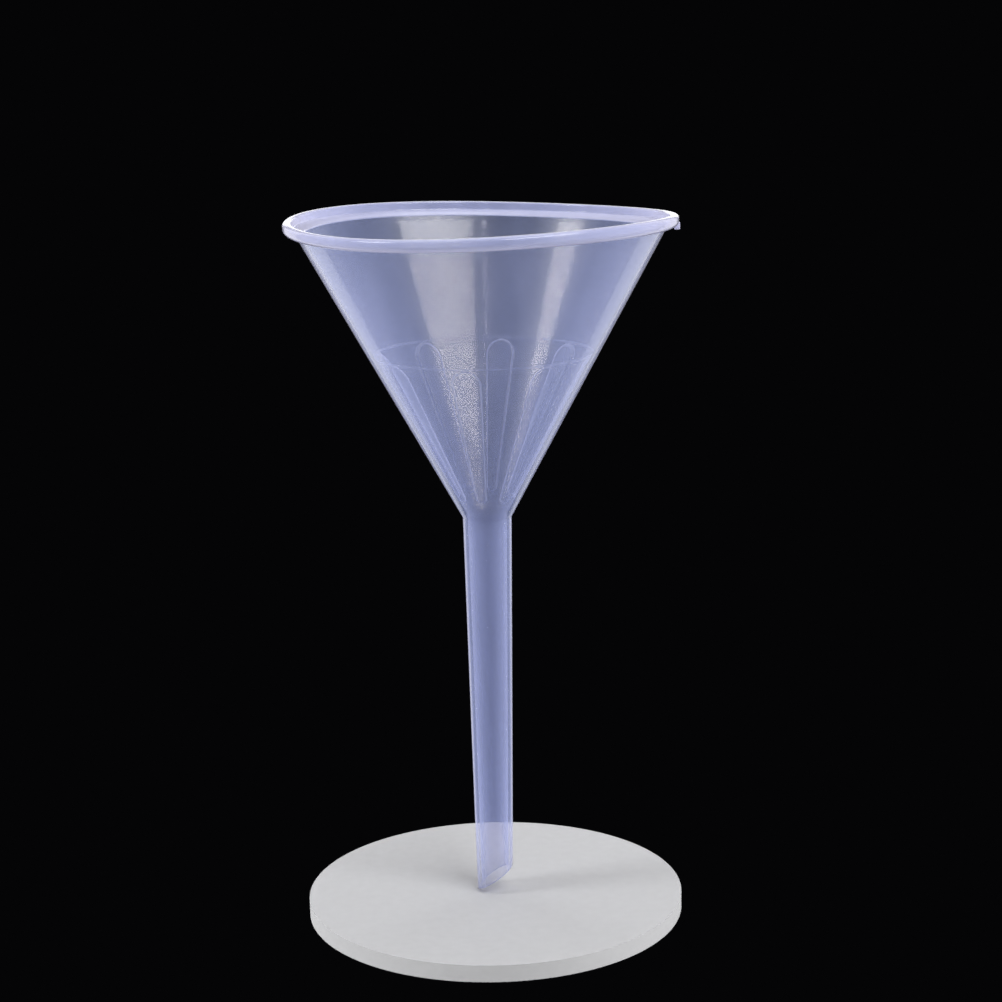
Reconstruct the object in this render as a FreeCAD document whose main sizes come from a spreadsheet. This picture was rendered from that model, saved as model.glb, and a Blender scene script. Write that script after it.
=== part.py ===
import FreeCAD, Part
import math
import os

import Sketcher

# A long-stem laboratory funnel, moulded in one piece from polypropylene.
# The axis is Z. The lowest point of the slanted outlet is at height 0 and the mouth opens upwards.
# The front of the funnel is the -Y side, and the low side of the outlet is at -X.
# The moulding is kept as its named regions, each a solid of its own, which meet face to face:
# rim_bead, cone_wall, throat, stem, gate_nub and drain_rib_1 to drain_rib_8.

# Driving sizes, in millimetres and degrees.
SIZES = {
    # the mouth and its bead
    "rim_radius": 45.0,         # outside of the bead
    "bead_reach": 1.546,        # how far the bead stands out from the cone, half way down the bead
    "bead_height": 2.8,         # outer face of the bead
    "bead_width": 2.0,          # crest of the bead, measured across
    "bead_foot_round": 1.5,     # rounding of the bead's outer lower edge
    "bead_crest_round": 1.0,    # rounding of the bead's outer upper edge
    "bead_inner_round": 0.5,    # rounding of the bead's inner upper edge
    "collar_depth": 2.0,        # upright inner face, below the crest
    "shoulder_depth": 3.1,      # foot of the sloping shoulder, below the crest
    "seam_drop": 3.3,           # where the bead's underside runs into the cone, below the crest
    # the cone
    "cone_half_angle": 28.6,    # between the cone's wall and the axis
    "cone_wall": 1.3,           # thickness, square to the wall
    # the throat and the stem
    "throat_rise": 3.4,         # throat region above the corner of cone and stem
    "throat_drop": 2.2,         # throat region below that corner
    "stem_length": 92.32,       # outlet tip to the corner of cone and stem
    "stem_top_radius": 5.71,    # outside, at the corner
    "stem_tip_radius": 4.28,    # outside, at the tip
    "stem_wall": 1.1,           # thickness of the tube
    "outlet_angle": 34.5,       # slanted cut, from square to the axis
    # the drain ribs inside the cone
    "rib_top_drop": 32.4,       # rounded top of a rib, below the crest
    "rib_foot_rise": 4.5,       # foot of a rib, above the corner of cone and stem
    "rib_top_width": 6.6,
    "rib_foot_width": 2.4,
    "rib_height": 0.7,          # how far a rib stands off the wall
    "rib_edge_round": 0.25,
    "rib_turn": -10.0,          # the first rib, round from the front towards +X
    # the gate vestige on the bead
    "nub_proud": 0.3,           # beyond the bead
    "nub_depth": 1.6,           # under the bead, towards the axis
    "nub_width": 1.8,
    "nub_height": 1.7,
    "nub_drop": 3.8,            # foot of the nub, below the crest
}
RIB_COUNT = 8

# The largest share of an edge's own wall that its rounding may take.
ROUND_SHARE = 0.45

# A rough outline that each sketch starts from, before its dimensions pull it into shape.
ROUGH_SIZE = 10.0
ROUGH_ACROSS = 30.0
ROUGH_UP = 60.0

# How far the cutting outlines run past what they cut.
CUT_SPARE = 5.0
SAME_PLACE = 1e-4

# Heights and radii worked out from the driving sizes, as expressions on the sheet.
CONE_TAN = "tan(Sizes.cone_half_angle * 1 deg)"
WALL_ACROSS = "(Sizes.cone_wall / cos(Sizes.cone_half_angle * 1 deg))"
RIB_ACROSS = "(Sizes.rib_height / cos(Sizes.cone_half_angle * 1 deg))"
CONE_APEX = f"(Sizes.stem_length - Sizes.stem_top_radius / {CONE_TAN})"
CREST = f"({CONE_APEX} + (Sizes.rim_radius - Sizes.bead_reach) / {CONE_TAN} + Sizes.bead_height / 2)"
SEAM = f"({CREST} - Sizes.seam_drop)"
SHOULDER = f"({CREST} - Sizes.shoulder_depth)"
THROAT_HIGH = "(Sizes.stem_length + Sizes.throat_rise)"
THROAT_LOW = "(Sizes.stem_length - Sizes.throat_drop)"
STEM_SLOPE = "((Sizes.stem_top_radius - Sizes.stem_tip_radius) / Sizes.stem_length)"
BORE_MOUTH = (
    f"((Sizes.stem_tip_radius - Sizes.stem_wall + {WALL_ACROSS} + {CONE_APEX} * {CONE_TAN})"
    f" / ({CONE_TAN} - {STEM_SLOPE}))"
)
RIB_TOP = f"({CREST} - Sizes.rib_top_drop)"
RIB_FOOT = "(Sizes.stem_length + Sizes.rib_foot_rise)"


def cone_outside(height):
    """Outer radius of the cone at a height."""
    return f"(({height} - {CONE_APEX}) * {CONE_TAN})"


def cone_inside(height):
    """Inner radius of the cone at a height."""
    return f"({cone_outside(height)} - {WALL_ACROSS})"


def stem_outside(height):
    """Outer radius of the tapered stem at a height."""
    return f"(Sizes.stem_tip_radius + {STEM_SLOPE} * {height})"


def stem_bore(height):
    """Bore radius of the tapered stem at a height."""
    return f"({stem_outside(height)} - Sizes.stem_wall)"


def limited(rounding, wall):
    """A rounding that never takes more than its share of the wall it sits on."""
    return f"min(Sizes.{rounding}; {ROUND_SHARE} * Sizes.{wall})"


def make_sheet(doc):
    """The spreadsheet of driving sizes, one row each, with the size's name as the cell's alias."""
    sheet = doc.addObject("Spreadsheet::Sheet", "Sizes")
    for row, (name, value) in enumerate(SIZES.items(), start=1):
        sheet.set(f"A{row}", name)
        sheet.set(f"B{row}", str(value))
        sheet.setAlias(f"B{row}", name)
    doc.recompute()
    return sheet


def make_body(doc, label):
    body = doc.addObject("PartDesign::Body", label)
    body.Label = label
    return body


def tie(sketch, kind, line, distance, expression):
    """Dimension the start of one line from the origin, across (DistanceX) or up (DistanceY)."""
    if expression == "0":
        axis = -2 if kind == "DistanceX" else -1
        sketch.addConstraint(Sketcher.Constraint("PointOnObject", line, 1, axis))
        return
    if expression.startswith("-"):
        number = sketch.addConstraint(Sketcher.Constraint(kind, line, 1, -1, 1, -distance))
        expression = expression[1:]
    else:
        number = sketch.addConstraint(Sketcher.Constraint(kind, -1, 1, line, 1, distance))
    sketch.setExpression(f"Constraints[{number}]", expression)


def outline(body, name, corners):
    """A closed outline on the body's XZ plane. Each corner is a pair of expressions, across and up."""
    sketch = body.newObject("Sketcher::SketchObject", name)
    plane = next(item for item in body.Origin.OriginFeatures if item.Role == "XZ_Plane")
    sketch.AttachmentSupport = [(plane, "")]
    sketch.MapMode = "FlatFace"
    rough = []
    for number, corner in enumerate(corners):
        turn = 2 * math.pi * number / len(corners)
        side = -1 if corner[0].startswith("-") else 1
        across = side * ROUGH_ACROSS + ROUGH_SIZE * math.cos(turn)
        rough.append(FreeCAD.Vector(across, ROUGH_UP + ROUGH_SIZE * math.sin(turn), 0))
    for number, start in enumerate(rough):
        end = rough[(number + 1) % len(rough)]
        sketch.addGeometry(Part.LineSegment(start, end), False)
    for number in range(len(rough)):
        following = (number + 1) % len(rough)
        sketch.addConstraint(Sketcher.Constraint("Coincident", number, 2, following, 1))
    for number, (across, up) in enumerate(corners):
        tie(sketch, "DistanceX", number, rough[number].x, across)
        tie(sketch, "DistanceY", number, rough[number].y, up)
    return sketch


def revolve(body, sketch, name, kind="PartDesign::Revolution"):
    """Turn an outline a full circle about the funnel's axis, as material or as a cut."""
    feature = body.newObject(kind, name)
    feature.Profile = sketch
    feature.ReferenceAxis = (sketch, ["V_Axis"])
    feature.Angle = 360.0
    sketch.Visibility = False
    return feature


def cut_checked(doc, body, feature, before):
    """Stop if a cut left the volume as it was, which means that it pointed away from the solid."""
    doc.recompute()
    if body.Shape.Volume > before - SAME_PLACE:
        raise RuntimeError(f"{feature.Label} cut nothing from {body.Label}")


def corner_edges(shape, sketch, corner):
    """Names of the straight edges or circles that one corner of an outline swept."""
    point = sketch.getPoint(corner, 1)
    names = []
    for number, edge in enumerate(shape.Edges, start=1):
        if all(abs(end.Point.z - point.y) < SAME_PLACE for end in edge.Vertexes):
            swept = isinstance(edge.Curve, Part.Circle)
            across = edge.Curve.Radius if swept else edge.Vertexes[0].Point.x
            straight = not swept and abs(edge.Vertexes[-1].Point.x - across) < SAME_PLACE
            if abs(across - point.x) < SAME_PLACE and (swept or straight):
                names.append(f"Edge{number}")
    return names


def fillet(doc, body, base, name, edges, radius):
    """Round some edges of the feature before, with the radius bound to an expression."""
    feature = body.newObject("PartDesign::Fillet", name)
    feature.Base = (base, edges)
    feature.setExpression("Radius", radius)
    doc.recompute()
    return feature


def ring_of_wall(doc, label, corners):
    """A region that is its outline turned about the axis."""
    body = make_body(doc, label)
    sketch = outline(body, f"{label}_section", corners)
    turned = revolve(body, sketch, f"{label}_turned")
    doc.recompute()
    return body, sketch, turned


def make_rim_bead(doc):
    """Thick bead round the mouth: an upright collar with a sloping shoulder down to the cone's wall."""
    bead_foot = f"({CREST} - Sizes.bead_height)"
    collar_foot = f"({CREST} - Sizes.collar_depth)"
    collar_radius = "(Sizes.rim_radius - Sizes.bead_width)"
    corners = [
        (cone_inside(SEAM), SEAM),
        (cone_outside(SEAM), SEAM),
        ("Sizes.rim_radius", bead_foot),
        ("Sizes.rim_radius", CREST),
        (collar_radius, CREST),
        (collar_radius, collar_foot),
        (cone_inside(SHOULDER), SHOULDER),
    ]
    outer_foot, outer_crest, inner_crest = 2, 3, 4
    body, sketch, feature = ring_of_wall(doc, "rim_bead", corners)
    roundings = [
        ("bead_foot_round", outer_foot, "bead_height"),
        ("bead_crest_round", outer_crest, "bead_width"),
        ("bead_inner_round", inner_crest, "bead_width"),
    ]
    for size, corner, wall in roundings:
        edges = corner_edges(feature.Shape, sketch, corner)
        feature = fillet(doc, body, feature, f"{size}_edge", edges, limited(size, wall))
    return body


def make_cone_wall(doc):
    """Plain conical wall between the throat and the bead."""
    corners = [
        (cone_inside(THROAT_HIGH), THROAT_HIGH),
        (cone_outside(THROAT_HIGH), THROAT_HIGH),
        (cone_outside(SEAM), SEAM),
        (cone_inside(SEAM), SEAM),
    ]
    return ring_of_wall(doc, "cone_wall", corners)[0]


def make_throat(doc):
    """Short region where the cone runs into the stem, and the cone's inside into the bore."""
    corners = [
        (stem_bore(THROAT_LOW), THROAT_LOW),
        (stem_outside(THROAT_LOW), THROAT_LOW),
        ("Sizes.stem_top_radius", "Sizes.stem_length"),
        (cone_outside(THROAT_HIGH), THROAT_HIGH),
        (cone_inside(THROAT_HIGH), THROAT_HIGH),
        (stem_bore(BORE_MOUTH), BORE_MOUTH),
    ]
    return ring_of_wall(doc, "throat", corners)[0]


def make_stem(doc):
    """Tapered tube, cut off at a slant so that drops leave from its low side."""
    corners = [
        (stem_bore("0"), "0"),
        (stem_outside("0"), "0"),
        (stem_outside(THROAT_LOW), THROAT_LOW),
        (stem_bore(THROAT_LOW), THROAT_LOW),
    ]
    body = ring_of_wall(doc, "stem", corners)[0]
    before = body.Shape.Volume
    rise = (
        "((Sizes.stem_top_radius + Sizes.stem_tip_radius) * tan(Sizes.outlet_angle * 1 deg))"
    )
    slant = outline(body, "outlet_slant", [
        ("-Sizes.stem_tip_radius", "0"),
        ("Sizes.stem_top_radius", "0"),
        ("Sizes.stem_top_radius", rise),
    ])
    cut = body.newObject("PartDesign::Pocket", "outlet_cut")
    cut.Profile = slant
    cut.Midplane = True
    cut.setExpression("Length", "4 * Sizes.stem_top_radius")
    slant.Visibility = False
    cut_checked(doc, body, cut, before)
    return body


def make_drain_rib(doc, number):
    """One drain rib: a low pad on the inner wall, round at its top and narrowing to its foot."""
    label = f"drain_rib_{number + 1}"
    body = make_body(doc, label)
    half_top = "(Sizes.rib_top_width / 2)"
    half_foot = "(Sizes.rib_foot_width / 2)"
    plan = outline(body, f"{label}_plan", [
        (f"-{half_foot}", RIB_FOOT),
        (half_foot, RIB_FOOT),
        (half_top, RIB_TOP),
        (f"-{half_top}", RIB_TOP),
    ])
    pad = body.newObject("PartDesign::Pad", f"{label}_pad")
    pad.Profile = plan
    pad.setExpression("Length", "Sizes.rim_radius")
    plan.Visibility = False
    doc.recompute()
    feature = pad
    ends = [
        ("foot_round", (0, 1), f"{ROUND_SHARE} * Sizes.rib_foot_width"),
        ("top_round", (2, 3), f"{ROUND_SHARE} * Sizes.rib_top_width"),
    ]
    for name, corners, radius in ends:
        edges = []
        for corner in corners:
            edges += corner_edges(feature.Shape, plan, corner)
        feature = fillet(doc, body, feature, f"{label}_{name}", edges, radius)
    low = f"({RIB_FOOT} - {CUT_SPARE})"
    high = f"({RIB_TOP} + {CUT_SPARE})"
    beyond = f"(Sizes.rim_radius + {CUT_SPARE})"
    trims = [
        ("wall_trim", [
            (cone_inside(low), low),
            (beyond, low),
            (beyond, high),
            (cone_inside(high), high),
        ]),
        ("face_trim", [
            ("0", low),
            (f"({cone_inside(low)} - {RIB_ACROSS})", low),
            (f"({cone_inside(high)} - {RIB_ACROSS})", high),
            ("0", high),
        ]),
    ]
    for name, corners in trims:
        before = body.Shape.Volume
        section = outline(body, f"{label}_{name}_section", corners)
        feature = revolve(body, section, f"{label}_{name}", "PartDesign::Groove")
        cut_checked(doc, body, feature, before)
    cones = [face for face in feature.Shape.Faces if isinstance(face.Surface, Part.Cone)]
    top_face = min(cones, key=lambda face: math.hypot(face.CenterOfMass.x, face.CenterOfMass.y))
    edges = []
    for index, edge in enumerate(feature.Shape.Edges, start=1):
        if any(edge.isSame(own) for own in top_face.Edges):
            edges.append(f"Edge{index}")
    fillet(doc, body, feature, f"{label}_edge_round", edges, limited("rib_edge_round", "rib_height"))
    turn = f"Sizes.rib_turn + {number} * 360 / {RIB_COUNT}"
    body.Placement = FreeCAD.Placement(
        FreeCAD.Vector(0, 0, 0), FreeCAD.Rotation(FreeCAD.Vector(0, 0, 1), number + 1)
    )
    body.setExpression("Placement.Rotation.Angle", turn)
    return body


def make_gate_nub(doc, rim_bead):
    """Vestige of the moulding gate: a small tab under the bead's outer edge, at +X."""
    block = doc.addObject("Part::Box", "gate_block")
    block.setExpression("Length", "Sizes.nub_depth + Sizes.nub_proud")
    block.setExpression("Width", "Sizes.nub_width")
    block.setExpression("Height", "Sizes.nub_height")
    block.setExpression("Placement.Base.x", "Sizes.rim_radius - Sizes.nub_depth")
    block.setExpression("Placement.Base.y", "-Sizes.nub_width / 2")
    block.setExpression("Placement.Base.z", f"{CREST} - Sizes.nub_drop")
    nub = doc.addObject("Part::Cut", "gate_nub")
    nub.Label = "gate_nub"
    nub.Base = block
    nub.Tool = rim_bead
    return nub


def check(doc, sub_parts):
    """Stop before anything is written if an object failed or a sub-part isn't one sound solid."""
    for item in doc.Objects:
        if "Invalid" in item.State or "Error" in item.State:
            raise RuntimeError(f"{item.Label} failed: {item.State}")
    for item in sub_parts:
        shape = item.Shape
        if shape.isNull() or not shape.isValid():
            raise RuntimeError(f"{item.Label} has no valid shape")
        if len(shape.Solids) != 1:
            raise RuntimeError(f"{item.Label} has {len(shape.Solids)} solids")


def write(sub_parts):
    """Write each sub-part to a file that carries its label."""
    os.makedirs("parts", exist_ok=True)
    for item in sub_parts:
        item.Shape.exportStep(f"parts/{item.Label}.step")
        box = item.Shape.optimalBoundingBox()
        print(
            f"{item.Label:14s} {item.Shape.Volume:9.1f} mm3"
            f"  x {box.XMin:7.2f} {box.XMax:7.2f}  y {box.YMin:7.2f} {box.YMax:7.2f}"
            f"  z {box.ZMin:7.2f} {box.ZMax:7.2f}"
        )


def main():
    doc = FreeCAD.newDocument("long_stem_funnel")
    make_sheet(doc)
    rim_bead = make_rim_bead(doc)
    sub_parts = [rim_bead, make_cone_wall(doc), make_throat(doc), make_stem(doc)]
    for number in range(RIB_COUNT):
        sub_parts.append(make_drain_rib(doc, number))
    sub_parts.append(make_gate_nub(doc, rim_bead))
    doc.recompute()
    check(doc, sub_parts)
    write(sub_parts)


main()
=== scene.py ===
import math

import bmesh
import bpy
from mathutils import Matrix, Vector


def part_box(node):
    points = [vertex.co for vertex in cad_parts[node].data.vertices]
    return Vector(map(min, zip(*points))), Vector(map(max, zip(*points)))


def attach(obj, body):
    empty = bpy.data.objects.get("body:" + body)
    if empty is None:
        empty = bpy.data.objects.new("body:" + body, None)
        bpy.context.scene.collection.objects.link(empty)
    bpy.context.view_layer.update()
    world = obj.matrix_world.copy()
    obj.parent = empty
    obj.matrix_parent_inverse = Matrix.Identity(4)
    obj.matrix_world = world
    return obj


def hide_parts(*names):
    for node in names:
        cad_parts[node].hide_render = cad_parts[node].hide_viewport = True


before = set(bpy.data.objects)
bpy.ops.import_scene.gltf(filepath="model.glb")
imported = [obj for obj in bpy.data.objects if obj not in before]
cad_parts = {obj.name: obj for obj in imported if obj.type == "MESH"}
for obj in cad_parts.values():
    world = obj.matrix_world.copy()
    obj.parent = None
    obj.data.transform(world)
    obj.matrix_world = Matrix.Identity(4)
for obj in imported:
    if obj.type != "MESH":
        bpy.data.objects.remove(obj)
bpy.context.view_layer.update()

# A long-stem laboratory funnel, injection moulded in one piece from natural polypropylene.
# The axis is Z, the tip of the outlet is at height 0, and the low side of the outlet is at -X.

MM = 0.001
SAME_PLACE = 1e-6

# ---------------------------------------------------------------------------------------------
# Places from the CAD frame
# ---------------------------------------------------------------------------------------------

bead_low, bead_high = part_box("rim_bead")
_, cone_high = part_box("cone_wall")
_, stem_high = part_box("stem")
rib_low, rib_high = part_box("drain_rib_1")
nub_low, nub_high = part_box("gate_nub")

RIM_RADIUS = (bead_high.y - bead_low.y) / 2
CREST = bead_high.z
SEAM = bead_low.z
THROAT_FOOT = stem_high.z

# The moulding's section
BEAD_HEIGHT = 2.8 * MM
BEAD_WIDTH = 2.0 * MM
BEAD_FOOT_ROUND = 1.5 * MM
BEAD_CREST_ROUND = 1.0 * MM
BEAD_INNER_ROUND = 0.5 * MM
COLLAR_DEPTH = 2.0 * MM
SHOULDER_DEPTH = 3.1 * MM
SMALL_ROUND = 0.35 * MM
THROAT_ROUND = 0.7 * MM

CONE_HALF_ANGLE = math.radians(28.6)
CONE_WALL = 1.3 * MM
CONE_TAN = math.tan(CONE_HALF_ANGLE)
WALL_ACROSS = CONE_WALL / math.cos(CONE_HALF_ANGLE)
CONE_APEX = SEAM - cone_high.y / CONE_TAN

# The throat takes in this much of the stem, so the stem's outside meets the cone's above its solid
THROAT_DROP = 2.2 * MM
STEM_LENGTH = THROAT_FOOT + THROAT_DROP
STEM_TIP_RADIUS = 4.28 * MM
STEM_TOP_RADIUS = (STEM_LENGTH - CONE_APEX) * CONE_TAN
STEM_SLOPE = (STEM_TOP_RADIUS - STEM_TIP_RADIUS) / STEM_LENGTH
STEM_WALL = 1.1 * MM
OUTLET_ANGLE = math.radians(34.5)
OUTLET_EDGE_ROUND = 0.18 * MM
# The slant of the outlet squeezes the stem's mesh up to this height
SLANT_REACH = 14 * MM

# The drain ribs
RIB_COUNT = 8
RIB_TURN = math.radians(-10.0)
RIB_TOP = rib_high.z
RIB_FOOT = rib_low.z
RIB_TOP_HALF = 3.3 * MM
RIB_FOOT_HALF = 1.2 * MM
RIB_HEIGHT = 0.7 * MM
# A rib's side rises over this width, steeply at first and then rounding over by this power
RIB_EDGE = 0.38 * MM
RIB_EDGE_POWER = 2.5

# A faint ring where two pieces of the mould's core met, level with the tops of the ribs
WITNESS_HEIGHT = RIB_TOP + 0.4 * MM
WITNESS_PROUD = 0.12 * MM
WITNESS_WIDTH = 0.3 * MM

# The rim has pulled a little out of flat in cooling, high at two opposite places, and leans a little.
# The warp fades out down the cone, and is gone at its foot.
WARP_SADDLE = 0.72 * MM
WARP_TURN = math.radians(-38.7)
WARP_LEAN = 0.15 * MM
LEAN_TURN = math.radians(129)
WARP_FOOT = 118 * MM

# Light finds its way round inside the bead, which makes it as milky as a wall of this depth
BEAD_DEPTH = 7.0 * MM
# The stem's small bore does the same to its wall
STEM_DEPTH = 2.1 * MM
# Painted highlight: the haze is thickened along the edges of the ribs and at the witness ring, standing
# in for the light that gathers there
RIB_EDGE_PAINTED_HIGHLIGHT = 1.6 * MM
RIB_EDGE_HIGHLIGHT_WIDTH = 0.3 * MM
WITNESS_PAINTED_HIGHLIGHT = 1.6 * MM

# The broken-off gate under the bead starts inside it, and is whitened as a wall of this depth would be
NUB_SUNK = 1.0 * MM
NUB_ROUND = 0.2 * MM
NUB_DEPTH = 25 * MM

# The grid of the skin: columns up the cone, 14 of them from a rib's middle to its side, crowding there
COLUMNS_PER_RIB = 72
EVEN_SIDE = math.radians(8.75)
COLUMN_CROWDING = 0.7
CROWDED_REACH = math.radians(2.2)
# Above the ribs the columns keep their turn for a sixth of the way up, then ease back to even
TURN_HOLD = 1.2

# Rows round it, close together where a rib ends and at the witness ring
CLOSE_ROWS = 0.2 * MM
RIB_ROWS = 1.8 * MM
WALL_ROWS = 5 * MM
FOOT_ZONE_LOW = RIB_FOOT - 0.3 * MM
FOOT_ZONE_HIGH = RIB_FOOT + RIB_FOOT_HALF + 0.2 * MM
TOP_ZONE_LOW = RIB_TOP - RIB_TOP_HALF - 0.2 * MM
TOP_ZONE_HIGH = WITNESS_HEIGHT + WITNESS_WIDTH * 2
# A point this near to the cone's inner line is on it
ON_WALL = SMALL_ROUND / 4


def cone_outside(height):
    """Outer radius of the cone at a height."""
    return (height - CONE_APEX) * CONE_TAN


def cone_inside(height):
    """Inner radius of the cone at a height."""
    return cone_outside(height) - WALL_ACROSS


def stem_outside(height):
    """Outer radius of the tapered stem at a height."""
    return STEM_TIP_RADIUS + STEM_SLOPE * height


def bore(height):
    """Radius of the tapered bore at a height."""
    return stem_outside(height) - STEM_WALL


# The height where the bore opens into the cone
BORE_MOUTH = (
    (STEM_TIP_RADIUS - STEM_WALL + WALL_ACROSS + CONE_APEX * CONE_TAN)
    / (CONE_TAN - STEM_SLOPE)
)


# ---------------------------------------------------------------------------------------------
# Mesh helpers
# ---------------------------------------------------------------------------------------------

def closed_outline(bm, corners):
    """A closed loop of edges on the XZ plane through (radius, height) corners. Returns its vertices."""
    verts = [bm.verts.new((radius, 0, height)) for radius, height in corners]
    for first, second in zip(verts, verts[1:] + verts[:1]):
        bm.edges.new((first, second))
    return verts


def round_corner(bm, vert, radius, segments):
    """Round one corner of an outline to a radius."""
    arms = [(edge.other_vert(vert).co - vert.co).normalized() for edge in vert.link_edges]
    half_angle = arms[0].angle(arms[1]) / 2
    bmesh.ops.bevel(
        bm, geom=[vert], affect="VERTICES", offset_type="OFFSET", offset=radius / math.tan(half_angle),
        segments=segments, profile=0.5, material=-1,
    )


def split_at_height(bm, height):
    """Put a vertex wherever the mesh crosses a height."""
    geometry = list(bm.verts) + list(bm.edges)
    bmesh.ops.bisect_plane(bm, geom=geometry, plane_co=(0, 0, height), plane_no=(0, 0, 1))


def spin_full(bm, sectors, steps):
    """Turn an outline a full circle about the Z axis: one sector of it first, then copies of that."""
    sector = 2 * math.pi / sectors
    bmesh.ops.spin(
        bm, geom=list(bm.verts) + list(bm.edges), cent=(0, 0, 0), axis=(0, 0, 1),
        angle=sector, steps=steps,
    )
    bmesh.ops.spin(
        bm, geom=list(bm.verts) + list(bm.edges) + list(bm.faces), cent=(0, 0, 0), axis=(0, 0, 1),
        angle=sector * (sectors - 1), steps=sectors - 1, use_duplicate=True,
    )
    bmesh.ops.remove_doubles(bm, verts=bm.verts, dist=SAME_PLACE)


def finish_piece(bm, name, material):
    """Turn a bmesh into an object with outward normals, shaded smooth."""
    bmesh.ops.recalc_face_normals(bm, faces=bm.faces)
    mesh = bpy.data.meshes.new(name)
    bm.to_mesh(mesh)
    bm.free()
    mesh.shade_smooth()
    mesh.materials.append(material)
    piece = bpy.data.objects.new(name, mesh)
    bpy.context.scene.collection.objects.link(piece)
    return piece


# ---------------------------------------------------------------------------------------------
# The moulding
# ---------------------------------------------------------------------------------------------

def moulding_section(bm):
    """Section of the whole moulding, down the outside from the crest and back up the inside."""
    bead_foot = CREST - BEAD_HEIGHT
    collar_radius = RIM_RADIUS - BEAD_WIDTH
    collar_foot = CREST - COLLAR_DEPTH
    shoulder = CREST - SHOULDER_DEPTH
    # Radius and height of each corner, then the radius that rounds it and in how many segments
    corners = [
        (RIM_RADIUS, CREST, BEAD_CREST_ROUND, 6),
        (RIM_RADIUS, bead_foot, BEAD_FOOT_ROUND, 6),
        (cone_outside(SEAM), SEAM, SMALL_ROUND, 3),
        (STEM_TOP_RADIUS, STEM_LENGTH, THROAT_ROUND, 3),
        (stem_outside(0), 0, OUTLET_EDGE_ROUND, 2),
        (bore(0), 0, OUTLET_EDGE_ROUND, 2),
        (bore(BORE_MOUTH), BORE_MOUTH, THROAT_ROUND, 4),
        (cone_inside(shoulder), shoulder, SMALL_ROUND, 3),
        (collar_radius, collar_foot, SMALL_ROUND, 3),
        (collar_radius, CREST, BEAD_INNER_ROUND, 5),
    ]
    verts = closed_outline(bm, [corner[:2] for corner in corners])
    for vert, (_, _, radius, segments) in zip(verts, corners):
        round_corner(bm, vert, radius, segments)


def row_spacing(low, high):
    """How far apart the skin's rows are on a straight run of the section between two heights."""
    middle = (low + high) / 2
    if TOP_ZONE_LOW < middle < TOP_ZONE_HIGH or FOOT_ZONE_LOW < middle < FOOT_ZONE_HIGH:
        return CLOSE_ROWS
    if RIB_FOOT < middle < RIB_TOP:
        return RIB_ROWS
    return WALL_ROWS


def add_rows(bm):
    """Divide the long runs of the section, finely on the inner wall round the ends of the ribs."""
    zone_edges = [FOOT_ZONE_LOW, FOOT_ZONE_HIGH, TOP_ZONE_LOW, TOP_ZONE_HIGH]
    below_shoulder = CREST - SHOULDER_DEPTH - SMALL_ROUND
    for height in zone_edges + [SEAM - SMALL_ROUND, below_shoulder, SLANT_REACH]:
        split_at_height(bm, height)
    for edge in list(bm.edges):
        ends = [vert.co for vert in edge.verts]
        low, high = sorted(end.z for end in ends)
        middle = (low + high) / 2
        inner = abs((ends[0].x + ends[1].x) / 2 - cone_inside(middle)) < ON_WALL
        spacing = row_spacing(low, high) if inner and middle > BORE_MOUTH else WALL_ROWS
        cuts = math.ceil((ends[0] - ends[1]).length / spacing) - 1
        if cuts > 0:
            bmesh.ops.subdivide_edges(bm, edges=[edge], cuts=cuts)


def rib_half_angle(height):
    """Half the angle that a rib's straight sides take up, seen from the axis."""
    share = min(max((height - RIB_FOOT) / (RIB_TOP - RIB_FOOT), 0), 1)
    half_width = RIB_FOOT_HALF + share * (RIB_TOP_HALF - RIB_FOOT_HALF)
    return math.asin(min(half_width / cone_inside(max(height, RIB_FOOT)), 1))


def turned_column(offset, height):
    """Angle from a rib's middle for a column, so that columns follow a rib's sides and crowd there."""
    half_pitch = math.pi / RIB_COUNT
    side = rib_half_angle(height)
    share = abs(offset)
    if share < EVEN_SIDE:
        moved = share * side / EVEN_SIDE
    else:
        moved = side + (share - EVEN_SIDE) * (half_pitch - side) / (half_pitch - EVEN_SIDE)
    away = moved - side
    away *= 1 - COLUMN_CROWDING * math.exp(-((away / CROWDED_REACH) ** 2))
    return math.copysign(side + away, offset)


def from_rib(across, height):
    """Distance to the outline of a rib, which is a tapered slot with round ends. Negative inside."""
    length = RIB_TOP - RIB_TOP_HALF - RIB_FOOT - RIB_FOOT_HALF
    up = height - RIB_FOOT - RIB_FOOT_HALF
    lean = (RIB_FOOT_HALF - RIB_TOP_HALF) / length
    upright = math.sqrt(1 - lean * lean)
    across = abs(across)
    along = -lean * across + upright * up
    if along < 0:
        return math.hypot(across, up) - RIB_FOOT_HALF
    if along > upright * length:
        return math.hypot(across, up - length) - RIB_TOP_HALF
    return across * upright + up * lean - RIB_FOOT_HALF


def rib_rise(distance):
    """Height of a rib's surface over the wall: a steep side with a rounded edge, then flat."""
    share = min(max(-distance / RIB_EDGE, 0), 1)
    return RIB_HEIGHT * (1 - (1 - share) ** RIB_EDGE_POWER)


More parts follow.
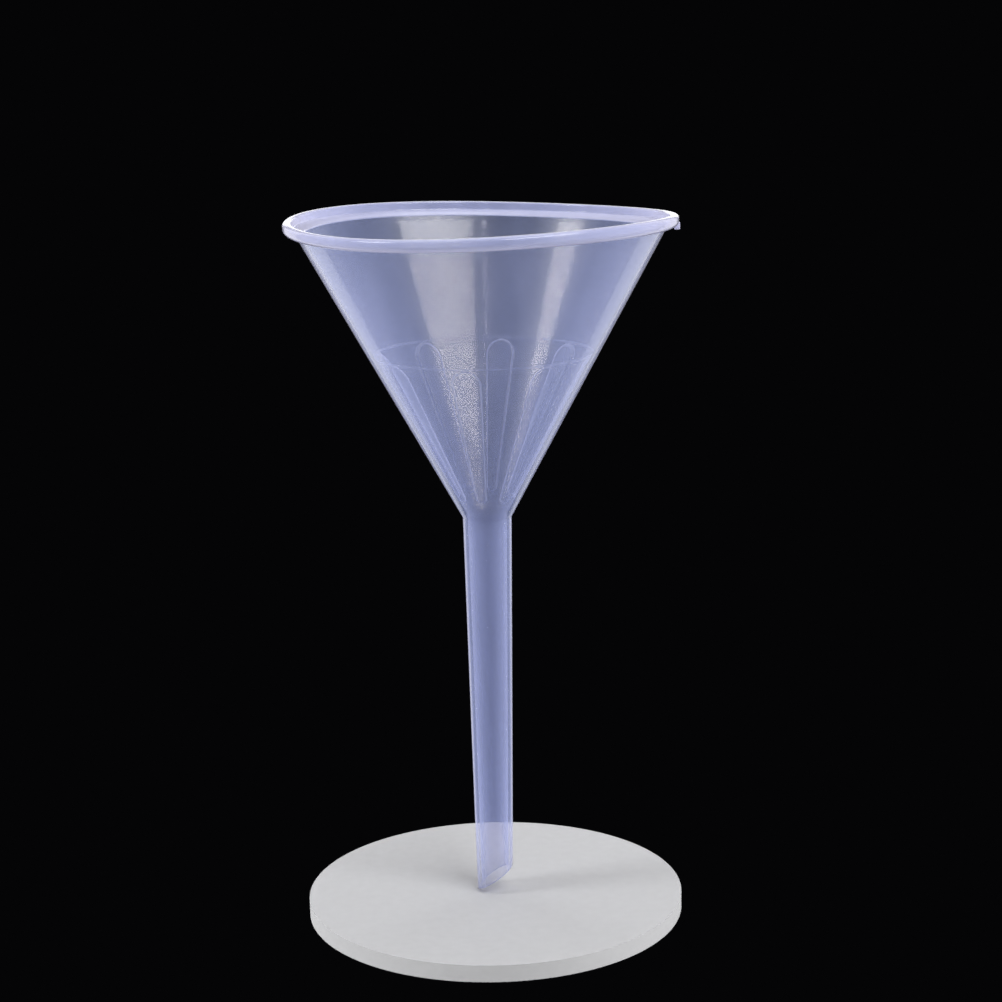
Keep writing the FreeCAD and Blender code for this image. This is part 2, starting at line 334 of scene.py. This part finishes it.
def raise_ribs(bm):
    """Turn the inner wall's columns to follow the ribs, then raise the ribs and the witness ring."""
    inward = Vector((-math.cos(CONE_HALF_ANGLE), math.sin(CONE_HALF_ANGLE)))
    first = -math.pi / 2 + RIB_TURN
    between = 2 * math.pi / RIB_COUNT
    low, high = BORE_MOUTH + THROAT_ROUND, CREST - SHOULDER_DEPTH
    for vert in bm.verts:
        radius, height = math.hypot(vert.co.x, vert.co.y), vert.co.z
        if not low < height < high or abs(radius - cone_inside(height)) > ON_WALL:
            continue
        turn = math.atan2(vert.co.y, vert.co.x) - first
        nearest = round(turn / between) * between
        hold = min(max((high - height) / (high - RIB_TOP), 0), 1) if height > RIB_TOP else 1
        even = turn - nearest
        offset = even + (turned_column(even, height) - even) * min(hold * TURN_HOLD, 1)
        rise = rib_rise(from_rib(radius * math.sin(offset), height))
        rise += WITNESS_PROUD * math.exp(-(((height - WITNESS_HEIGHT) / WITNESS_WIDTH) ** 2))
        radius += rise * inward.x
        angle = first + nearest + offset
        vert.co = (radius * math.cos(angle), radius * math.sin(angle), height + rise * inward.y)


def rim_drop(angle, height):
    """How far the warp lowers the skin at an angle round the axis, fading out down the cone."""
    share = min(max((height - WARP_FOOT) / (CREST - WARP_FOOT), 0), 1)
    saddle = WARP_SADDLE * (1 - math.cos(2 * (angle - WARP_TURN)))
    lean = WARP_LEAN * (1 - math.cos(angle - LEAN_TURN))
    return share * share * (saddle + lean)


def warp_rim(bm):
    """Let the rim pull out of flat. The cone's wall slides along its own slope as it drops."""
    collar_foot = CREST - COLLAR_DEPTH
    for vert in bm.verts:
        drop = rim_drop(math.atan2(vert.co.y, vert.co.x), vert.co.z)
        slide = min(max((collar_foot - vert.co.z) / (collar_foot - SEAM), 0), 1)
        radius = math.hypot(vert.co.x, vert.co.y)
        narrower = (radius - slide * drop * CONE_TAN) / radius
        vert.co = (vert.co.x * narrower, vert.co.y * narrower, vert.co.z - drop)


def note_depth_and_painted_highlight(bm):
    """Record how deep the plastic is behind each point, in millimetres, for the haze that it gives,
    with a painted highlight added as extra depth along the ribs' edges and at the witness ring.
    Also record the inside surfaces, which the wall in front of them hides where they turn edge-on."""
    depth_and_highlight_layer = bm.verts.layers.float.new("depth_and_painted_highlight")
    insides = bm.verts.layers.float.new("inside")
    first = -math.pi / 2 + RIB_TURN
    between = 2 * math.pi / RIB_COUNT
    for vert in bm.verts:
        radius, height = math.hypot(vert.co.x, vert.co.y), vert.co.z
        if height < STEM_LENGTH:
            inside = radius < stem_outside(height) - STEM_WALL / 2
        else:
            inside = radius < cone_outside(height) - WALL_ACROSS / 2
        bead_foot = CREST - SHOULDER_DEPTH - SMALL_ROUND / 2 if inside else SEAM + SMALL_ROUND / 2
        if height > bead_foot:
            depth = BEAD_DEPTH
        elif height < STEM_LENGTH:
            depth = STEM_DEPTH
        else:
            depth = CONE_WALL
        if inside and RIB_FOOT - RIB_EDGE_HIGHLIGHT_WIDTH < height < RIB_TOP + RIB_EDGE_HIGHLIGHT_WIDTH:
            turn = math.atan2(vert.co.y, vert.co.x) - first
            across = radius * math.sin(turn - round(turn / between) * between)
            distance = from_rib(across, height)
            # Painted highlight: extra depth along a rib's outline makes its edges milkier and lighter
            depth += RIB_EDGE_PAINTED_HIGHLIGHT * math.exp(-((distance / RIB_EDGE_HIGHLIGHT_WIDTH) ** 2))
            depth += RIB_HEIGHT if distance < 0 else 0
        if inside:
            # Painted highlight: extra depth along the witness ring makes it a lighter line
            depth += WITNESS_PAINTED_HIGHLIGHT * math.exp(-(((height - WITNESS_HEIGHT) / WITNESS_WIDTH) ** 2))
        vert[depth_and_highlight_layer] = depth / MM
        vert[insides] = 1.0 if inside and height < bead_foot else 0.0


def slant_outlet(bm):
    """Slant the stem's square end, up from its tip at -X, keeping the stem's taper."""
    for vert in bm.verts:
        height = vert.co.z
        if height >= SLANT_REACH:
            continue
        rise = (vert.co.x + STEM_TIP_RADIUS) * math.tan(OUTLET_ANGLE) * (1 - height / SLANT_REACH)
        radius = math.hypot(vert.co.x, vert.co.y)
        wider = (radius + STEM_SLOPE * rise) / radius
        vert.co = (vert.co.x * wider, vert.co.y * wider, height + rise)


def make_moulding(material):
    """The funnel's one seamless skin: bead, cone, ribs, throat and stem."""
    bm = bmesh.new()
    moulding_section(bm)
    add_rows(bm)
    spin_full(bm, RIB_COUNT, COLUMNS_PER_RIB)
    raise_ribs(bm)
    note_depth_and_painted_highlight(bm)
    slant_outlet(bm)
    warp_rim(bm)
    piece = finish_piece(bm, "funnel_moulding", material)
    nodes = ["rim_bead", "cone_wall", "throat", "stem"]
    nodes += [f"drain_rib_{number + 1}" for number in range(RIB_COUNT)]
    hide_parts(*nodes)
    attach(piece, "root")
    return piece


def make_gate_vestige(material):
    """The broken-off gate: a small tab with slightly rounded edges, under the bead at +X."""
    bm = bmesh.new()
    bmesh.ops.create_cube(bm, size=1.0)
    low = Vector((RIM_RADIUS - NUB_SUNK, nub_low.y, nub_low.z))
    size = nub_high - low
    bmesh.ops.scale(bm, vec=size, verts=bm.verts)
    bmesh.ops.translate(bm, vec=low + size / 2, verts=bm.verts)
    bmesh.ops.bevel(
        bm, geom=list(bm.edges), affect="EDGES", offset_type="OFFSET", offset=NUB_ROUND,
        segments=3, profile=0.5, material=-1,
    )
    bmesh.ops.translate(bm, vec=(0, 0, -rim_drop(0, nub_high.z)), verts=bm.verts)
    depth_and_highlight_layer = bm.verts.layers.float.new("depth_and_painted_highlight")
    for vert in bm.verts:
        vert[depth_and_highlight_layer] = NUB_DEPTH / MM
    piece = finish_piece(bm, "gate_vestige", material)
    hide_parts("gate_nub")
    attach(piece, "root")
    return piece


# ---------------------------------------------------------------------------------------------
# Materials
# ---------------------------------------------------------------------------------------------

def linear(hex_colour):
    """An sRGB hex colour as linear RGBA."""
    channels = [int(hex_colour[start:start + 2], 16) / 255 for start in (1, 3, 5)]
    turned = [c / 12.92 if c <= 0.04045 else ((c + 0.055) / 1.055) ** 2.4 for c in channels]
    return (*turned, 1.0)


def add_node(tree, kind, settings=None, inputs=None):
    """A node with its settings and its inputs. An input is a value, the socket that feeds it, or the
    node whose first output does."""
    node = tree.nodes.new(kind)
    for name, value in (settings or {}).items():
        setattr(node, name, value)
    for name, value in (inputs or {}).items():
        if isinstance(value, bpy.types.Node):
            value = value.outputs[0]
        if isinstance(value, bpy.types.NodeSocket):
            tree.links.new(value, node.inputs[name])
        else:
            node.inputs[name].default_value = value
    return node


def new_material(name):
    """An empty node material and its tree."""
    material = bpy.data.materials.new(name)
    material.use_nodes = True
    material.node_tree.nodes.clear()
    return material, material.node_tree


# Flow streaks are a seventh of a radian wide, which is 6 mm at the rim and under 1 mm in the stem, and
# the stretch makes them 12 mm long. They are drawn coarser than real ones, so that they show at all.
STREAK_SCALE = 7.0
STREAK_STRETCH = 12
STREAK_RANGE = {"From Min": 0.3, "From Max": 0.7}

# The faint unevenness of a moulded skin: how wide its dimples are, and how deep
PEEL_SIZE = 3.5 * MM
PEEL_DEPTH = 0.05 * MM
PEEL_STRENGTH = 0.12

# Haze for each millimetre of plastic, in the clearest and the milkiest streak
HAZE_CLEAREST = 0.095
HAZE_MILKIEST = 0.115
# The cosine of the flattest angle at which the eye is taken to look through the wall
LEAST_FACING_OUTSIDE = 0.06
LEAST_FACING_INSIDE = 0.5
MILK_THIN = "#A6B8F0"
MILK_THICK = "#D8D7EC"
CLEAR_TINT = "#FEFCFA"
# How much of the light that enters the milky plastic leaves it on the far side
PASSED_ON = 0.45

# Gloss of the skin head-on and edge-on. An edge-on inner surface lies behind the outer one's gloss, so
# it gets none of its own there.
GLOSS_HEAD_ON = 0.04
GLOSS_EDGE_OUTSIDE = 0.96
GLOSS_EDGE_INSIDE = 0.0
GLOSS_POWER = 5.0
ROUGHNESS_LEAST = 0.1
ROUGHNESS_MOST = 0.16
# Added inside only, to calm speckle in the reflections there. It doesn't clear it, and it isn't known
# of the real moulding.
ROUGHER_INSIDE = 0.22


def natural_polypropylene():
    """Natural polypropylene, injection moulded in a polished mould. It has no pigment: a thin wall of
    it is clear with a bluish haze, a thick one is milky, and its skin is glossy with faint streaks."""
    material, tree = new_material("natural_polypropylene_moulded")
    inside = add_node(tree, "ShaderNodeAttribute", {"attribute_name": "inside"}).outputs["Fac"]
    depth = add_node(tree, "ShaderNodeAttribute", {"attribute_name": "depth_and_painted_highlight"}).outputs["Fac"]
    facing = add_node(tree, "ShaderNodeLayerWeight", {}, {"Blend": 0.5}).outputs["Facing"]

    # Streaks that run up the wall, and the skin's unevenness
    place = add_node(tree, "ShaderNodeTexCoord").outputs["Object"]
    multiply = {"operation": "MULTIPLY"}
    across = add_node(tree, "ShaderNodeVectorMath", multiply, {0: place, 1: (1, 1, 0)})
    around = add_node(tree, "ShaderNodeVectorMath", {"operation": "NORMALIZE"}, {0: across})
    upright = add_node(tree, "ShaderNodeVectorMath", multiply, {0: place, 1: (0, 0, STREAK_STRETCH)})
    flow = add_node(tree, "ShaderNodeVectorMath", {"operation": "ADD"}, {0: around, 1: upright})
    streaks = add_node(
        tree, "ShaderNodeTexNoise", {},
        {"Vector": flow, "Scale": STREAK_SCALE, "Detail": 1.0, "Roughness": 0.4},
    ).outputs["Fac"]
    peel = add_node(
        tree, "ShaderNodeTexNoise", {},
        {"Vector": place, "Scale": 1 / PEEL_SIZE, "Detail": 2.0, "Roughness": 0.5},
    ).outputs["Fac"]
    bump = add_node(
        tree, "ShaderNodeBump", {},
        {"Height": peel, "Strength": PEEL_STRENGTH, "Distance": PEEL_DEPTH},
    ).outputs["Normal"]

    # Haze grows with the depth of plastic that the eye looks through, and with the painted highlight
    # lines carried in the same attribute along the ribs' edges and the witness ring
    least = add_node(
        tree, "ShaderNodeMapRange", {},
        {"Value": inside, "To Min": LEAST_FACING_OUTSIDE, "To Max": LEAST_FACING_INSIDE},
    )
    cosine = add_node(tree, "ShaderNodeMath", {"operation": "SUBTRACT"}, {0: 1.0, 1: facing})
    head_on = add_node(tree, "ShaderNodeMath", {"operation": "MAXIMUM"}, {0: cosine, 1: least})
    scatter = add_node(
        tree, "ShaderNodeMapRange", {},
        {"Value": streaks, **STREAK_RANGE, "To Min": -HAZE_CLEAREST, "To Max": -HAZE_MILKIEST},
    )
    straight = add_node(tree, "ShaderNodeMath", multiply, {0: depth, 1: scatter})
    path = add_node(tree, "ShaderNodeMath", {"operation": "DIVIDE"}, {0: straight, 1: head_on})
    passed = add_node(tree, "ShaderNodeMath", {"operation": "EXPONENT"}, {0: path})
    haze = add_node(tree, "ShaderNodeMath", {"operation": "SUBTRACT"}, {0: 1.0, 1: passed})
    milk = add_node(
        tree, "ShaderNodeMix", {"data_type": "RGBA"},
        {"Factor": haze, "A": linear(MILK_THIN), "B": linear(MILK_THICK)},
    ).outputs["Result"]
    near_side = add_node(tree, "ShaderNodeBsdfDiffuse", {}, {"Color": milk, "Normal": bump})
    far_side = add_node(tree, "ShaderNodeBsdfTranslucent", {}, {"Color": milk, "Normal": bump})
    milky = add_node(tree, "ShaderNodeMixShader", {}, {0: PASSED_ON, 1: near_side, 2: far_side})
    clear = add_node(tree, "ShaderNodeBsdfTransparent", {}, {"Color": linear(CLEAR_TINT)})
    body = add_node(tree, "ShaderNodeMixShader", {}, {0: haze, 1: clear, 2: milky})

    # The glossy skin
    polished = add_node(
        tree, "ShaderNodeMapRange", {},
        {"Value": streaks, **STREAK_RANGE, "To Min": ROUGHNESS_LEAST, "To Max": ROUGHNESS_MOST},
    )
    rougher = add_node(tree, "ShaderNodeMath", multiply, {0: inside, 1: ROUGHER_INSIDE})
    roughness = add_node(tree, "ShaderNodeMath", {"operation": "ADD"}, {0: polished, 1: rougher})
    skin = add_node(
        tree, "ShaderNodeBsdfAnisotropic", {}, {"Roughness": roughness, "Normal": bump},
    )
    most = add_node(
        tree, "ShaderNodeMapRange", {},
        {"Value": inside, "To Min": GLOSS_EDGE_OUTSIDE, "To Max": GLOSS_EDGE_INSIDE},
    )
    edge_on = add_node(tree, "ShaderNodeMath", {"operation": "POWER"}, {0: facing, 1: GLOSS_POWER})
    edge_gloss = add_node(tree, "ShaderNodeMath", multiply, {0: edge_on, 1: most})
    gloss = add_node(tree, "ShaderNodeMath", {"operation": "ADD"}, {0: edge_gloss, 1: GLOSS_HEAD_ON})
    surface = add_node(tree, "ShaderNodeMixShader", {}, {0: gloss, 1: body, 2: skin})
    add_node(tree, "ShaderNodeOutputMaterial", {}, {"Surface": surface})
    return material


ROLLER_SIZE = 2.5 * MM


def pale_board():
    """Matte painted board, pale grey, with a faint roller texture."""
    material, tree = new_material("pale_painted_board")
    place = add_node(tree, "ShaderNodeTexCoord").outputs["Object"]
    roller = add_node(
        tree, "ShaderNodeTexNoise", {}, {"Vector": place, "Scale": 1 / ROLLER_SIZE, "Detail": 3.0},
    )
    tint = add_node(
        tree, "ShaderNodeMix", {"data_type": "RGBA"},
        {"Factor": roller.outputs["Fac"], "A": linear("#B4B4B6"), "B": linear("#BDBDBF")},
    ).outputs["Result"]
    surface = add_node(
        tree, "ShaderNodeBsdfPrincipled", {}, {"Base Color": tint, "Roughness": 0.6},
    )
    add_node(tree, "ShaderNodeOutputMaterial", {}, {"Surface": surface})
    return material


# ---------------------------------------------------------------------------------------------
# Stage, camera and lights
# ---------------------------------------------------------------------------------------------

FLOOR_RADIUS = 45 * MM
FLOOR_THICKNESS = 4 * MM
FLOOR_GAP = 0.3 * MM
FLOOR_SIDES = 160

CAMERA_PLACE = Vector((0, -510.0, 208.27)) * MM
CAMERA_LENS = 80.28
CAMERA_YAW = math.radians(-0.37)
CAMERA_DOWN = math.radians(12.42)
CAMERA_ROLL = math.radians(-1.19)
CLIP_START = 0.01

# The middle of the upper funnel, which every light faces
LIT_POINT = Vector((0, 0, 125 * MM))
DARK_ROOM = "#050506"


def make_floor(material):
    """A small round pale floor just under the tip of the outlet."""
    bm = bmesh.new()
    made = bmesh.ops.create_circle(bm, cap_ends=True, segments=FLOOR_SIDES, radius=FLOOR_RADIUS)
    bmesh.ops.translate(bm, vec=(0, 0, -FLOOR_GAP), verts=made["verts"])
    raised = bmesh.ops.extrude_face_region(bm, geom=list(bm.faces))
    lowered = [item for item in raised["geom"] if isinstance(item, bmesh.types.BMVert)]
    bmesh.ops.translate(bm, vec=(0, 0, -FLOOR_THICKNESS), verts=lowered)
    floor = finish_piece(bm, "floor", material)
    floor.data.set_sharp_from_angle(angle=math.radians(30))


def make_camera():
    """The camera stands in front of the funnel, above its rim, and looks down at it."""
    data = bpy.data.cameras.new("camera")
    data.sensor_width = 36.0
    data.lens = CAMERA_LENS
    data.clip_start = CLIP_START
    camera = bpy.data.objects.new("camera", data)
    bpy.context.scene.collection.objects.link(camera)
    place = Matrix.Translation(CAMERA_PLACE)
    yaw = Matrix.Rotation(CAMERA_YAW, 4, "Z")
    pitch = Matrix.Rotation(math.pi / 2 - CAMERA_DOWN, 4, "X")
    roll = Matrix.Rotation(CAMERA_ROLL, 4, "Z")
    camera.matrix_world = place @ yaw @ pitch @ roll
    bpy.context.scene.camera = camera


def make_light(name, turn, rise, distance, width, height, power):
    """A softbox that faces the funnel, in degrees, metres and watts. turn is round from the camera's
    side towards +X, and rise is up from level."""
    data = bpy.data.lights.new(name, "AREA")
    data.shape = "RECTANGLE"
    data.size, data.size_y = width, height
    data.energy = power
    light = bpy.data.objects.new(name, data)
    bpy.context.scene.collection.objects.link(light)
    turn, rise = math.radians(turn), math.radians(rise)
    away = Vector((math.sin(turn) * math.cos(rise), -math.cos(turn) * math.cos(rise), math.sin(rise)))
    light.location = LIT_POINT + away * distance
    light.rotation_euler = away.to_track_quat("Z", "Y").to_euler()
    return light


def light_studio():
    """Soft studio light against a dark room."""
    make_light("key_softbox", 41, 47, 0.9, 0.62, 0.42, 7.7)
    make_light("left_strip", -77.2, 44, 0.9, 0.215, 0.36, 3.35)
    make_light("front_strip", -3, 52, 0.9, 0.016, 0.3, 0.2)
    make_light("left_edge", -142, 0, 0.8, 0.35, 1.6, 1.8)
    make_light("right_edge", 142, 0, 0.8, 0.35, 1.6, 1.6)
    make_light("top_box", 180, 78, 0.8, 0.6, 0.6, 3.0)
    # Broad fills, kept out of reflections, where they would draw double lines in the stem
    fills = [
        make_light("left_fill", -95, -14, 0.8, 0.4, 0.4, 5.0),
        make_light("right_fill", 95, -14, 0.8, 0.4, 0.4, 5.0),
        make_light("front_fill", -10, -12, 1.2, 0.6, 0.3, 7.0),
    ]
    for fill in fills:
        fill.visible_glossy = False
    # A low strip behind, seen only in reflections: it draws a bright line along the crest of the rim
    crest_strip = make_light("crest_strip", 180, 8, 0.9, 0.6, 0.26, 0.9)
    crest_strip.visible_diffuse = False
    crest_strip.visible_camera = False
    world = bpy.data.worlds.new("dark_room")
    bpy.context.scene.world = world
    world.use_nodes = True
    world.node_tree.nodes["Background"].inputs["Color"].default_value = linear(DARK_ROOM)
    bpy.context.scene.view_settings.view_transform = "Standard"


polypropylene = natural_polypropylene()
make_moulding(polypropylene)
make_gate_vestige(polypropylene)
make_floor(pale_board())
make_camera()
light_studio()
